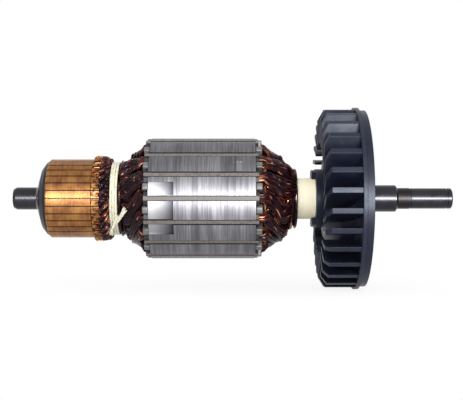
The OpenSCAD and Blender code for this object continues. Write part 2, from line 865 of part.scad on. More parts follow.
module fan_blades() {
    edge_x = fan_left_x + blade_sunk;
    intersection() {
        for (i = [0:blade_count - 1])
            at_angle((i + first_blade) * 360 / blade_count)
                extruded(concat(blade_side(1), reversed(blade_side(-1))), fan_left_x, rim_left_x + sink);
        turned([
            [edge_x, blade_in_r - sink],
            [edge_x, blade_out_r - blade_slope_r],
            [edge_x + blade_drop, blade_out_r],
            [rim_left_x + 2 * sink, blade_out_r],
            [rim_left_x + 2 * sink, blade_in_r - sink]
        ]);
    }
}

module hub_lug(angle) {
    at_angle(angle)
        turned_arc([
            [fan_left_x - lug_h, sleeve_r + fit_gap],
            [fan_left_x - lug_h, hub_r - lug_inset],
            [fan_left_x + sink, hub_r - lug_inset],
            [fan_left_x + sink, sleeve_r + fit_gap]
        ], lug_arc);
}

module cooling_fan() {
    color("#2b2d36")
        difference() {
            union() {
                fan_disc();
                fan_blades();
                hub_lug(90);
                hub_lug(-90);
            }
            fan_hollow();
        }
}

shaft();
shaft_sleeve();
lamination_stack();
end_plate_commutator_side();
end_plate_fan_side();
slot_liners();
slot_wedges();
coil_leads();
lacing_cord();
commutator_moulding();
commutator_bush();
cooling_fan();
for (i = [0:slot_count - 1]) coil(i);
for (i = [0:bar_count - 1]) commutator_bar(i);
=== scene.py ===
import math
import random

import bpy
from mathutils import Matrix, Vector, noise


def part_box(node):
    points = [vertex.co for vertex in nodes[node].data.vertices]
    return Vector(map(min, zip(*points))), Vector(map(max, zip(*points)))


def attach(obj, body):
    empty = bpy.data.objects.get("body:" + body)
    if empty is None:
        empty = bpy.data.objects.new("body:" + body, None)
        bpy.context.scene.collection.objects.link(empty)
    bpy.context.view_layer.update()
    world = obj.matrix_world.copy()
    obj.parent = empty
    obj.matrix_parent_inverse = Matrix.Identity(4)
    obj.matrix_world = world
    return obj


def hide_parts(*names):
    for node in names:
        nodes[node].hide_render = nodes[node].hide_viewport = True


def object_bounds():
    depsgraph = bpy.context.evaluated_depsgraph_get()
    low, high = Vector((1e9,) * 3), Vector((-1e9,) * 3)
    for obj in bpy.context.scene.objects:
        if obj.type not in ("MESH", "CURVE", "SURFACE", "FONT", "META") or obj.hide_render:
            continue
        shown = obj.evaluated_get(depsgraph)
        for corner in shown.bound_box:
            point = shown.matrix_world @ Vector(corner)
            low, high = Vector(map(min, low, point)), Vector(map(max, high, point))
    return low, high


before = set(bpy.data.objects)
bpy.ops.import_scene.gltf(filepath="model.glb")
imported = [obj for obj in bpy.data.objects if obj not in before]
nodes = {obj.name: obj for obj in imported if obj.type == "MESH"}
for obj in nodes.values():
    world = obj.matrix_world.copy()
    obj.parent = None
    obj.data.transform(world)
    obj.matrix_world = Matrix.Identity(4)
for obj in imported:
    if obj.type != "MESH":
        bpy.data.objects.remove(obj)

cadBox = [list(corner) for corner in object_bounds()]
scene = bpy.context.scene
mm = 0.001
slotCount = 16
barCount = 2 * slotCount
slotPitch, barPitch = 360 / slotCount, 360 / barCount


# small helpers for the materials

def newMaterial(name):
    material = bpy.data.materials.new(name)
    material.use_nodes = True
    shader = material.node_tree.nodes["Principled BSDF"]
    return material, material.node_tree, shader


def addNode(tree, kind, **values):
    node = tree.nodes.new(kind)
    for key, value in values.items():
        if hasattr(node, key) and key not in node.inputs:
            setattr(node, key, value)
        else:
            node.inputs[key].default_value = value
    return node


def objectCoordinates(tree, stretch=(1, 1, 1)):
    source = tree.nodes.new("ShaderNodeTexCoord")
    mapping = tree.nodes.new("ShaderNodeMapping")
    mapping.inputs["Scale"].default_value = stretch
    tree.links.new(source.outputs["Object"], mapping.inputs["Vector"])
    return mapping.outputs["Vector"]


def noiseField(tree, vector, scale, detail=3, roughness=0.55):
    field = addNode(tree, "ShaderNodeTexNoise", Scale=scale, Detail=detail, Roughness=roughness)
    tree.links.new(vector, field.inputs["Vector"])
    return field.outputs["Fac"]


def plug(tree, socket, value):
    if isinstance(value, bpy.types.NodeSocket):
        tree.links.new(value, socket)
    else:
        socket.default_value = (*value, 1) if isinstance(value, tuple) else value


def ramp(tree, value, stops):
    node = tree.nodes.new("ShaderNodeValToRGB")
    while len(node.color_ramp.elements) < len(stops):
        node.color_ramp.elements.new(0.5)
    for element, (place, colour) in zip(node.color_ramp.elements, stops):
        element.position = place
        element.color = (*colour, 1)
    tree.links.new(value, node.inputs["Fac"])
    return node.outputs["Color"]


def remap(tree, value, low, high, toLow, toHigh):
    limits = {"From Min": low, "From Max": high, "To Min": toLow, "To Max": toHigh}
    node = addNode(tree, "ShaderNodeMapRange", **limits)
    tree.links.new(value, node.inputs["Value"])
    return node.outputs["Result"]


# most of a noise field lies between 0.3 and 0.7
def vary(tree, field, low, high):
    return remap(tree, field, 0.3, 0.7, low, high)


def mixColour(tree, share, first, second):
    node = tree.nodes.new("ShaderNodeMix")
    node.data_type = "RGBA"
    plug(tree, node.inputs[0], share)
    plug(tree, node.inputs[6], first)
    plug(tree, node.inputs[7], second)
    return node.outputs[2]


def bump(tree, shader, height, strength, distance, edge=0):
    node = addNode(tree, "ShaderNodeBump", Strength=strength, Distance=distance)
    tree.links.new(height, node.inputs["Height"])
    if edge:
        rounded = addNode(tree, "ShaderNodeBevel", samples=6, Radius=edge)
        tree.links.new(rounded.outputs["Normal"], node.inputs["Normal"])
    tree.links.new(node.outputs["Normal"], shader.inputs["Normal"])


def mathNode(tree, operation, first, second=0.0):
    node = tree.nodes.new("ShaderNodeMath")
    node.operation = operation
    plug(tree, node.inputs[0], first)
    plug(tree, node.inputs[1], second)
    return node.outputs[0]


def blendFields(tree, first, second, share):
    fromFirst = mathNode(tree, "MULTIPLY", first, share)
    return mathNode(tree, "ADD", fromFirst, mathNode(tree, "MULTIPLY", second, 1 - share))


def axisPlace(tree, axis="X"):
    source = tree.nodes.new("ShaderNodeTexCoord")
    split = tree.nodes.new("ShaderNodeSeparateXYZ")
    tree.links.new(source.outputs["Object"], split.inputs[0])
    return split.outputs[axis]


def axisDistance(tree, stretch=(0, 1, 1)):
    node = tree.nodes.new("ShaderNodeVectorMath")
    node.operation = "LENGTH"
    tree.links.new(objectCoordinates(tree, stretch), node.inputs[0])
    return node.outputs["Value"]


# arc length to the nearest of the lines that lie every pitch degrees round the shaft
def arcFromLine(tree, pitch):
    forward = mathNode(tree, "MULTIPLY", axisPlace(tree, "Y"), -1)
    angle = mathNode(tree, "ARCTAN2", axisPlace(tree, "Z"), forward)
    offLine = mathNode(tree, "PINGPONG", angle, math.radians(pitch) / 2)
    return mathNode(tree, "MULTIPLY", offLine, axisDistance(tree))


def between(tree, value, low, high, soft):
    rise = remap(tree, value, low - soft, low + soft, 0, 1)
    fall = remap(tree, value, high - soft, high + soft, 1, 0)
    return mathNode(tree, "MULTIPLY", rise, fall)


def pick(piece):
    bpy.ops.object.select_all(action="DESELECT")
    piece.select_set(True)
    bpy.context.view_layer.objects.active = piece


def dress(name, material):
    mesh = nodes[name].data
    mesh.materials.clear()
    mesh.materials.append(material)


# steel of the shaft: ground seats, with a rough, darker relief between two of them and a paler collar
# the relief counts back from the shaft's drive end, the collar from the front of the bush

steel = {"colour": (0.039, 0.038, 0.044), "dark": (0.031, 0.03, 0.034), "lighter": 1.15,
         "rings": 2600, "smears": 160, "ringShare": 0.4, "roughness": (0.27, 0.35), "smearDepth": 0.00003,
         "relief": (-0.0244, -0.0184), "reliefSoft": 0.0002, "reliefColour": (0.028, 0.025, 0.026),
         "reliefRougher": 0.12,
         "collar": (-0.0016, 0.0001), "collarSoft": 0.0001, "collarColour": (0.24, 0.225, 0.2)}


def groundSteel():
    material, tree, shader = newMaterial("groundSteel")
    rings = noiseField(tree, objectCoordinates(tree, (1, 0.02, 0.02)), steel["rings"], 3)
    smears = noiseField(tree, objectCoordinates(tree), steel["smears"], 4)
    tone = blendFields(tree, rings, smears, steel["ringShare"])
    bright = tuple(c * steel["lighter"] for c in steel["colour"])
    ground = ramp(tree, tone, [(0.34, steel["dark"]), (0.5, steel["colour"]), (0.66, bright)])
    driveEnd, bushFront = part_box("shaft")[1][0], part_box("commutator_bush")[0][0]
    relief = between(tree, axisPlace(tree), *(driveEnd + x for x in steel["relief"]), steel["reliefSoft"])
    collar = between(tree, axisPlace(tree), *(bushFront + x for x in steel["collar"]), steel["collarSoft"])
    ground = mixColour(tree, collar, ground, steel["collarColour"])
    tree.links.new(mixColour(tree, relief, ground, steel["reliefColour"]), shader.inputs["Base Color"])
    polish = vary(tree, smears, *steel["roughness"])
    rough = mathNode(tree, "MULTIPLY", relief, steel["reliefRougher"])
    tree.links.new(mathNode(tree, "ADD", polish, rough), shader.inputs["Roughness"])
    shader.inputs["Metallic"].default_value = 1
    bump(tree, shader, smears, 0.1, steel["smearDepth"])
    return material


dress("shaft", groundSteel())


# bush in the moulding: paler turned steel

bush = {"colour": (0.24, 0.225, 0.2), "dark": (0.12, 0.11, 0.1), "smears": 420, "roughness": 0.45}


def turnedSteel():
    material, tree, shader = newMaterial("turnedSteel")
    smears = noiseField(tree, objectCoordinates(tree), bush["smears"], 3)
    look = ramp(tree, smears, [(0.35, bush["dark"]), (0.6, bush["colour"])])
    tree.links.new(look, shader.inputs["Base Color"])
    shader.inputs["Roughness"].default_value = bush["roughness"]
    shader.inputs["Metallic"].default_value = 1
    return material


dress("commutator_bush", turnedSteel())


# resins, paper and fibre: a cloudy colour, with painted shade along the edges or a darker end where asked
# for

plain = {"stops": (0.25, 0.5, 0.8), "lighter": 1.06, "rougher": (-0.06, 0.08), "edgeSoft": 0.0002,
         "stainSoft": 0.0006, "finer": 9, "grainDepth": 0.00005}
sleeve = {"colour": (0.86, 0.80, 0.61), "speck": (0.79, 0.70, 0.49), "roughness": 0.6, "grain": 140,
          "specular": 0.25}
# the sleeve is darker where the winding covers it
sleeveUnderWinding = {"under": 0.0008, "colour": (0.02, 0.01, 0.01)}
liners = {"colour": (0.22, 0.21, 0.19), "speck": (0.12, 0.11, 0.10), "roughness": 0.5, "grain": 300}
# the wedges' edge: where the painted shade begins, as an arc from the slot's middle, and its colour
wedges = {"colour": (0.15, 0.135, 0.125), "speck": (0.07, 0.06, 0.055), "roughness": 0.42, "grain": 900,
          "specular": 0.22, "edge": (0.00066, (0.03, 0.028, 0.028))}
moulding = {"colour": (0.008, 0.008, 0.013), "speck": (0.014, 0.014, 0.018), "roughness": 0.35,
            "grain": 400, "specular": 0.2}


def plainResin(name, colour, speck, roughness, grain, specular=0.4, edge=None, darkerLeftOf=None):
    material, tree, shader = newMaterial(name)
    cloud = noiseField(tree, objectCoordinates(tree), grain, 4)
    bright = tuple(min(1, c * plain["lighter"]) for c in colour)
    look = ramp(tree, cloud, list(zip(plain["stops"], (speck, colour, bright))))
    # painted shade along both edges of a strip, where it meets the teeth
    if edge:
        start, stainAndShade = edge
        atEdge = remap(tree, arcFromLine(tree, slotPitch), start, start + plain["edgeSoft"], 0, 1)
        look = mixColour(tree, atEdge, look, stainAndShade)
    # a darker colour over all that lies left of the given place
    if darkerLeftOf:
        upTo, stainAndShade = darkerLeftOf
        hidden = remap(tree, axisPlace(tree), upTo - plain["stainSoft"], upTo, 1, 0)
        look = mixColour(tree, hidden, look, stainAndShade)
    tree.links.new(look, shader.inputs["Base Color"])
    polish = vary(tree, cloud, *(roughness + change for change in plain["rougher"]))
    tree.links.new(polish, shader.inputs["Roughness"])
    shader.inputs["Specular IOR Level"].default_value = specular
    fine = noiseField(tree, objectCoordinates(tree), grain * plain["finer"], 3)
    bump(tree, shader, fine, 0.2, plain["grainDepth"])
    return material


windingEnd = max(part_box(f"coil_{index + 1:02d}")[1][0] for index in range(slotCount))
underWinding = (windingEnd - sleeveUnderWinding["under"], sleeveUnderWinding["colour"])
dress("shaft_sleeve", plainResin("creamResin", **sleeve, darkerLeftOf=underWinding))
dress("slot_liners", plainResin("linerPaper", **liners))
dress("slot_wedges", plainResin("wedgeFibre", **wedges))
dress("commutator_moulding", plainResin("blackResin", **moulding))


# end plates: the insulation under its coat of varnish, so that every corner is soft

plates = {"joinedWithin": 0.00001, "voxel": 0.00038, "rounds": 7, "thinned": 0.5, "smoothBelow": 60}
plateLook = {"colour": (0.115, 0.11, 0.118), "speck": (0.05, 0.048, 0.05), "roughness": 0.42,
             "grain": 260, "specular": 0.5}


def coatPlate(side, material):
    source = f"end_plate_{side}_side"
    plate = nodes[source].copy()
    plate.data = nodes[source].data.copy()
    plate.name = f"coatedPlate_{side}"
    scene.collection.objects.link(plate)
    pick(plate)
    bpy.ops.object.mode_set(mode="EDIT")
    bpy.ops.mesh.select_all(action="SELECT")
    bpy.ops.mesh.remove_doubles(threshold=plates["joinedWithin"])
    bpy.ops.object.mode_set(mode="OBJECT")
    coat = plate.modifiers.new("coat", "REMESH")
    coat.mode = "VOXEL"
    coat.voxel_size = plates["voxel"]
    soften = plate.modifiers.new("soften", "SMOOTH")
    soften.iterations = plates["rounds"]
    thin = plate.modifiers.new("thin", "DECIMATE")
    thin.ratio = plates["thinned"]
    for name in ("coat", "soften", "thin"):
        bpy.ops.object.modifier_apply(modifier=name)
    bpy.ops.object.shade_smooth_by_angle(angle=math.radians(plates["smoothBelow"]))
    plate.data.materials.clear()
    plate.data.materials.append(material)
    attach(plate, "root")
    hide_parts(source)


plateFibre = plainResin("endPlateFibre", **plateLook)
for side in ("commutator", "fan"):
    coatPlate(side, plateFibre)
print("end plates done")


# core: the edges of the sheets show as fine lines round the stack, and the balance cuts are clean metal
# with painted shade that darkens them along their length, and only a little of that painted shade in the
# small cuts beyond

core = {"colour": (0.152, 0.149, 0.162), "dark": (0.08, 0.077, 0.088), "light": (0.26, 0.256, 0.27),
        "sheets": 1500, "smears": 240, "sheetShare": 0.6, "roughness": (0.38, 0.5),
        "lineDepth": 0.00006, "slotHalf": 0.00118, "slotSoft": 0.0001, "slotShade": (0.05, 0.048, 0.052),
        "cutRadius": 0.0266, "cutSoft": 0.00004, "cutLength": 0.0108, "darkening": (0.2, 1),
        "smallCuts": (1.2, 1.3), "smallCutShare": 0.25,
        "cutColours": ((0.3, 0.3, 0.31), (0.02, 0.02, 0.028))}


def sheetSteel():
    material, tree, shader = newMaterial("sheetSteel")
    lines = noiseField(tree, objectCoordinates(tree, (1, 0.03, 0.03)), core["sheets"], 4, 0.7)
    broad = noiseField(tree, objectCoordinates(tree, (1, 0.12, 0.12)), core["smears"], 3)
    tone = blendFields(tree, lines, broad, core["sheetShare"])
    sheets = ramp(tree, tone, [(0.34, core["dark"]), (0.5, core["colour"]), (0.66, core["light"])])
    start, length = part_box("lamination_stack")[0][0], core["cutLength"]
    radius, soft, half = core["cutRadius"], core["cutSoft"], core["slotHalf"]
    inCut = remap(tree, axisDistance(tree), radius - soft, radius + soft, 1, 0)
    darkFrom, darkTo = (start + share * length for share in core["darkening"])
    pastFrom, pastTo = (start + share * length for share in core["smallCuts"])
    along = remap(tree, axisPlace(tree), darkFrom, darkTo, 0, 1)
    past = remap(tree, axisPlace(tree), pastFrom, pastTo, 1, core["smallCutShare"])
    # clean metal in the cuts, with painted shade growing along each long cut and a quarter of it in the
    # small cuts
    cutMetalAndShade = mixColour(tree, mathNode(tree, "MULTIPLY", along, past), *core["cutColours"])
    # painted shade on the slot walls, inside each slot opening
    inSlot = remap(tree, arcFromLine(tree, slotPitch), half, half + core["slotSoft"], 1, 0)
    ground = mixColour(tree, inCut, sheets, cutMetalAndShade)
    tree.links.new(mixColour(tree, inSlot, ground, core["slotShade"]), shader.inputs["Base Color"])
    tree.links.new(vary(tree, broad, *core["roughness"]), shader.inputs["Roughness"])
    shader.inputs["Metallic"].default_value = 1
    bump(tree, shader, lines, 0.35, core["lineDepth"])
    return material


dress("lamination_stack", sheetSteel())


# copper of the commutator bars: brushed track with a painted highlight dot on each bar, stained round the
# hooks a painted shadow line at the hooks' foot; places count from the bars' rear end: from and to for the
# shadow line, place and radius for the highlight dot and the eye

copper = {"colour": (0.265, 0.115, 0.042), "brown": (0.15, 0.06, 0.03), "gold": (0.40, 0.205, 0.065),
          "hook": (0.36, 0.195, 0.066), "stainAndShade": (0.035, 0.018, 0.012),
          "turning": 1500, "clouds": 190, "blots": 620, "turningShare": 0.35, "roughness": (0.33, 0.42),
          "turningDepth": 0.00004, "groove": (-0.00385, -0.00355), "grooveSoft": 0.00008,
          "paintedGlintDot": (-0.0061, 0.00045), "eye": (-0.0008, 0.001), "spotCore": 0.3}


def barCopper():
    material, tree, shader = newMaterial("barCopper")
    turning = noiseField(tree, objectCoordinates(tree, (1, 0.05, 0.05)), copper["turning"], 3)
    cloud = noiseField(tree, objectCoordinates(tree), copper["clouds"], 4)
    tone = blendFields(tree, turning, cloud, copper["turningShare"])
    track = ramp(tree, tone, [(0.34, copper["brown"]), (0.5, copper["colour"]), (0.68, copper["gold"])])
    place = mathNode(tree, "SUBTRACT", axisPlace(tree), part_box("commutator_bar_01")[1][0])
    halfBar = mathNode(tree, "MULTIPLY", axisDistance(tree), math.radians(barPitch) / 2)
    fromMiddle = mathNode(tree, "SUBTRACT", halfBar, arcFromLine(tree, barPitch))
    squareMiddle = mathNode(tree, "POWER", fromMiddle, 2)

    def spotAt(where, radius):
        ahead = mathNode(tree, "ABSOLUTE", mathNode(tree, "SUBTRACT", place, where))
        squares = mathNode(tree, "ADD", squareMiddle, mathNode(tree, "POWER", ahead, 2))
        return remap(tree, mathNode(tree, "SQRT", squares), copper["spotCore"] * radius, radius, 1, 0)

    # a painted highlight dot on each bar
    track = mixColour(tree, spotAt(*copper["paintedGlintDot"]), track, copper["hook"])
    beyond = remap(tree, place, *copper["groove"], 0, 1)
    blots = noiseField(tree, objectCoordinates(tree), copper["blots"], 2)
    hooks = ramp(tree, blots, [(0.3, copper["stainAndShade"]), (0.42, copper["brown"]), (0.56, copper["hook"])])
    hooks = mixColour(tree, spotAt(*copper["eye"]), hooks, copper["stainAndShade"])
    # painted shadow line at the foot of the hooks
    groove = between(tree, place, *copper["groove"], copper["grooveSoft"])
    bare = mixColour(tree, beyond, track, hooks)
    tree.links.new(mixColour(tree, groove, bare, copper["stainAndShade"]), shader.inputs["Base Color"])
    tree.links.new(vary(tree, cloud, *copper["roughness"]), shader.inputs["Roughness"])
    shader.inputs["Metallic"].default_value = 1
    bump(tree, shader, turning, 0.15, copper["turningDepth"])
    return material


barFinish = barCopper()
for index in range(barCount):
    dress(f"commutator_bar_{index + 1:02d}", barFinish)


# winding: every coil is a bundle of enamelled wires on the coil's own route, in millimetres
# each head is built up in steps outward from the core: coils 1 and 9 lie in the first step, 2 and 10 next

winding = {
    "steps": slotCount // 2, "span": slotCount // 2 - 1, "pitch": slotPitch, "frontSlot": 13,
    "spreadTop": 3.2, "leftLean": 0.16, "half": 9.68, "turnIn": 2.48, "turnStep": 14,
    "gap": 0.45, "thick": 1.55, "swell": (5, 2, 1), "toothWidth": 4.3, "yoke": 5.8, "fit": 0.4,
    "topDepth": 2.6, "lowerShare": 0.6, "slotLift": 2.6, "sleeveGap": 0.1, "stripWiden": 1.6,
    "belowLayer": 0.12, "leastRoom": 0.1, "plateGap": 0.3, "neckGap": 0.15, "inSlot": 2.0,
    "wire": 0.32, "acrossTop": 15, "sideRows": (0.2, 0.45), "sectionTop": 0.6, "sectionSlope": 0.28,
    "spacing": 1.3, "sides": 6, "sway": 0.36, "swayStep": 0.4, "sunk": 0.4, "lie": (-0.08, 0.3),
    "smoothBelow": 50, "seed": 7,
    "bodyTone": 0.0, "scatter": 0.2, "bareShare": 0.3, "bareTone": 1.5, "patchStep": 0.5, "patchFrom": 0.1,
    "ends": [
        {"way": -1, "plate": 2.6, "length": 14.2, "top": 15.9, "nearCore": 0.4,
         "tones": {"inner": 0.26, "outer": 0.1, "last": 0.12},
         "curve": [(0, 1), (0.18, 0.74), (0.42, 0.55), (0.66, 0.39), (0.85, 0.25), (1, 0)]},
        {"way": 1, "plate": 3.0, "length": 19.4, "top": 11.7, "nearCore": 0.6,
         "tones": {"inner": 0.6, "outer": 0.12, "last": 0.06},
         "curve": [(0, 1), (0.18, 0.84), (0.35, 0.69), (0.52, 0.59), (0.69, 0.48), (0.86, 0.24), (1, 0)]},
    ],
}
flat, slope = winding["sectionTop"], winding["sectionSlope"]
bundleSection = [(-flat, 0), (flat, 0), (1, slope), (1, 1 - slope),
                 (flat, 1), (-flat, 1), (-1, 1 - slope), (-1, slope)]


def mix(a, b, t):
    return a + (b - a) * t


def lookUp(t, table):
    for (t0, v0), (t1, v1) in zip(table, table[1:]):
        if t <= t1:
            return mix(v0, v1, max(0, t - t0) / (t1 - t0))
    return table[-1][1]


def onShaft(x, r, turn):
    angle = math.radians(turn)
    return Vector((x, -r * math.cos(angle), r * math.sin(angle)))


def measureWinding():
    w = winding
    low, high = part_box("lamination_stack")
    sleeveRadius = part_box("shaft_sleeve")[1][2] / mm
    w["coilTop"] = high[2] / mm - w["topDepth"]
    w["coilIn"] = sleeveRadius + w["yoke"] + w["fit"]
    w["split"] = mix(w["coilIn"], w["coilTop"], w["lowerShare"])
    w["lift"] = w["split"] - w["slotLift"]
    widest = w["half"] * w["steps"] / (w["steps"] - w["spreadTop"])
    halfStrip = math.radians((w["stripWiden"] * widest + w["turnIn"]) / 2)
    w["stripIn"] = (sleeveRadius + w["sleeveGap"]) / math.cos(halfStrip)
    for end, face in zip(w["ends"], (low[0] / mm, high[0] / mm)):
        end["face"] = face
        end["first"] = end["plate"] + w["plateGap"]
        end["rise"] = (end["length"] - end["first"]) / w["steps"]


measureWinding()


def bundleBand(end, kind, n):
    w = winding
    r = mix(end["top"], w["coilTop"], lookUp(max(n, 0) / w["steps"], end["curve"]))
    inSlot = (w["split"] + w["gap"] / 2, w["coilTop"])
    if kind == "inner":
        inSlot = (w["lift"], w["split"] - w["gap"] / 2)
        onHead = (r - 2 * w["thick"] - w["gap"], r - w["thick"] - w["gap"])
    elif kind == "last":
        peak, before, after = w["swell"]
        share = (peak - n) / before if n < peak else (n - peak) / after
        onHead = (r - w["thick"] - (1 - min(1, share)) * (w["thick"] + w["gap"]), r)
    else:
        onHead = (r - w["thick"], r)
    t = min(1, max(0, n))
    return mix(inSlot[0], onHead[0], t), mix(inSlot[1], onHead[1], t)


def spreadAt(n):
    return min(max(0, n - 1), winding["spreadTop"])


def halfOnHead(n):
    return winding["half"] * winding["steps"] / (winding["steps"] - spreadAt(n))


def halfInSlot(r):
    half = math.radians(winding["pitch"] / 2)
    room = (r * math.sin(half) - winding["toothWidth"] / 2) / math.cos(half)
    return math.degrees(math.atan((room - winding["fit"]) / r))


def kindOf(step, right):
    if right:
        return "inner" if step == 0 else "outer"
    return "last" if step == winding["steps"] - 1 else "inner"


def climbAngle(slot, step, right, n):
    w = winding
    m = spreadAt(n)
    lean = 0 if right else w["leftLean"]
    place = lean * m + w["steps"] * (step + 0.5 - m) / (w["steps"] - m) - 0.5
    return w["pitch"] * (slot - step + place + (w["span"] if right else 0))


def headPoint(end, n, r, turn):
    x = end["face"] + end["way"] * (end["first"] + n * end["rise"])
    return onShaft(x, r, turn - winding["pitch"] * winding["frontSlot"])


def layerLevel(end, step, u, inset):
    room = 1 - (winding["gap"] + 2 * inset) / end["rise"]
    return step + inset / end["rise"] + max(room, winding["leastRoom"]) * (1 - u) / 2


def stripTop(end, step, n):
    outer = bundleBand(end, "outer", n)
    if step == winding["steps"] - 1:
        return outer[1]
    if step == winding["steps"] - 2:
        return outer[0] - winding["gap"]
    return bundleBand(end, "inner", n)[0] - winding["gap"]


def sidePoint(end, slot, step, right, n, u, v, inset, corner=False):
    low, high = bundleBand(end, kindOf(step, right), n)
    if corner:
        low = winding["stripIn"]
    r = mix(low + inset, high - inset, v)
    if n <= 0 or (corner and step == 0):
        half = halfInSlot(max(r, winding["coilIn"]))
    else:
        half = mix(halfInSlot(r), halfOnHead(n), min(1, n))
    half -= math.degrees(inset / r)
    return headPoint(end, n, r, climbAngle(slot, step, right, n) + (-1 if right else 1) * u * half)


def endTurn(end, slot, step, u, v, inset, sway=0, seed=0.0):
    w = winding
    levels = [-(end["first"] + w["inSlot"]) / end["rise"], -end["first"] / end["rise"], 0]
    levels += [k / 2 for k in range(1, 2 * step)] + [step - w["belowLayer"]] if step else []
    tones = [end["tones"][kindOf(step, right)] for right in (False, True)]
    points = []

    def place(point, share):
        points.append(Vector((*point, mix(*tones, share))))

    def swayed():
        drift = noise.noise(Vector((seed, w["swayStep"] * len(points), 0)))
        return max(-1, min(1, u + sway * drift))

    for n in levels:
        place(sidePoint(end, slot, step, False, n, swayed(), v, inset), 0)
    place(sidePoint(end, slot, step, False, layerLevel(end, step, u, inset), u, v, inset, True), 0)
    half = halfOnHead(step) if step else halfInSlot(w["split"])
    start = climbAngle(slot, step, False, step + 0.5) + half + w["turnIn"]
    stop = climbAngle(slot, step, True, step + 0.5) - half - w["turnIn"]
    count = math.ceil((stop - start) / w["turnStep"])
    for i in range(count + 1):
        level = layerLevel(end, step, swayed(), inset)
        r = mix(w["stripIn"] + inset, stripTop(end, step, level) - inset, v)
        place(headPoint(end, level, r, mix(start, stop, i / count)), i / count)
    place(sidePoint(end, slot, step, True, layerLevel(end, step, u, inset), u, v, inset, True), 1)
    for n in reversed(levels):
        place(sidePoint(end, slot, step, True, n, swayed(), v, inset), 1)
    return points


def smoothRoute(points, spacing):
    route = []
    for i in range(len(points) - 1):
        a, b, c, d = (points[max(0, min(len(points) - 1, i + k))] for k in (-1, 0, 1, 2))
        count = max(1, round((c - b).length / spacing))
        for k in range(count):
            t = k / count
            bend = (2 * a - 5 * b + 4 * c - d) * t * t + (3 * b - a - 3 * c + d) * t ** 3
            route.append(0.5 * (2 * b + (c - a) * t + bend))
    route.append(points[-1])
    return route


def startMesh():
    return {"points": [], "faces": [], "tone": []}


def joinRings(store, first, rings, size, closed=False):
    for i in range(rings if closed else rings - 1):
        a, b = first + i * size, first + (i + 1) % rings * size
        for k in range(size):
            m = (k + 1) % size
            store["faces"].append((a + k, b + k, b + m, a + m))


def addTube(store, route, radii, sides, shade=0.0):
    first, side = len(store["points"]), None
    for i, station in enumerate(route):
        place = station.xyz
        way = (route[min(i + 1, len(route) - 1)].xyz - route[max(i - 1, 0)].xyz).normalized()
        if side is None:
            side = way.cross(Vector((0, place.y, place.z)))
        side = (side - way * side.dot(way)).normalized()
        up = side.cross(way)
        for k in range(sides):
            angle = 2 * math.pi * k / sides
            across = side * math.cos(angle) + up * math.sin(angle)
            store["points"].append((place + across * radii[min(i, len(radii) - 1)]) * mm)
            store["tone"].append(station.w + shade)
    joinRings(store, first, len(route), sides)
    last = first + (len(route) - 1) * sides
    store["faces"].append([first + k for k in range(sides)])
    store["faces"].append([last + k for k in reversed(range(sides))])


def finishMesh(store, name, material):
    mesh = bpy.data.meshes.new(name)
    mesh.from_pydata([tuple(point) for point in store["points"]], [], store["faces"])
    mesh.attributes.new("tone", "FLOAT", "POINT").data.foreach_set("value", store["tone"])
    mesh.materials.append(material)
    piece = bpy.data.objects.new(name, mesh)
    scene.collection.objects.link(piece)
    pick(piece)
    bpy.ops.object.mode_set(mode="EDIT")
    bpy.ops.mesh.select_all(action="SELECT")
    bpy.ops.mesh.normals_make_consistent(inside=False)
    bpy.ops.object.mode_set(mode="OBJECT")
    bpy.ops.object.shade_smooth_by_angle(angle=math.radians(winding["smoothBelow"]))
    return piece


def windCoil(index, material):
    w = winding
    step = index % w["steps"]
    store = startMesh()
    sides = [[endTurn(end, index, step, u, v, w["sunk"]) for u, v in bundleSection] for end in w["ends"]]
    rings = list(zip(*sides[0])) + list(zip(*sides[1]))[::-1]
    for ring in rings:
        store["points"] += [station.xyz * mm for station in ring]
        store["tone"] += [w["bodyTone"]] * len(ring)
    joinRings(store, 0, len(rings), len(bundleSection), True)
    dice = random.Random(index + w["seed"])
    row = [2 * k / (w["acrossTop"] - 1) - 1 for k in range(w["acrossTop"])]
    starts = [(u, 1 - slope * max(0, abs(u) - flat) / (1 - flat)) for u in row]
    starts += [(u, v) for u in (-1, 1) for v in w["sideRows"]]
    for end in w["ends"]:
        for u, v in starts:
            inset = w["wire"] + dice.uniform(*w["lie"])
            turn = endTurn(end, index, step, u, v, inset, w["sway"], dice.uniform(0, 90))
            shade = w["scatter"] * dice.uniform(-1, 1)
            bare = w["bareTone"] if dice.random() < w["bareShare"] else 0
            burnish = end["nearCore"] * dice.random() ** 2
            patch = dice.uniform(0, 90)
            for i, station in enumerate(turn):
                fromCore = abs(station.x - end["face"]) - end["first"]
                station.w += burnish * max(0, 1 - max(0, fromCore) / (2 * end["rise"]))
                worn = noise.noise(Vector((patch, w["patchStep"] * i, 0)))
                station.w += bare * max(0, worn - w["patchFrom"])
            addTube(store, smoothRoute(turn, w["spacing"]), [w["wire"]], w["sides"], shade)
    piece = finishMesh(store, f"coilWires_{index + 1:02d}", material)
    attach(piece, "root")
    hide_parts(f"coil_{index + 1:02d}")


varnish = {"stops": [(0.02, (0.006, 0.0014, 0.0028)), (0.25, (0.02, 0.0045, 0.007)),
                     (0.42, (0.075, 0.016, 0.012)), (0.62, (0.36, 0.105, 0.042)),
                     (0.85, (0.74, 0.34, 0.18))],
           "clouds": 260, "cloudiness": 0.16, "bareMetal": 0.75, "roughness": (0.12, 0.4),
           "grain": 1500, "grainDepth": 0.00006,
           "sheenTint": (0.9, 0.78, 0.88, 1), "gloss": 0.32, "ior": 1.35}


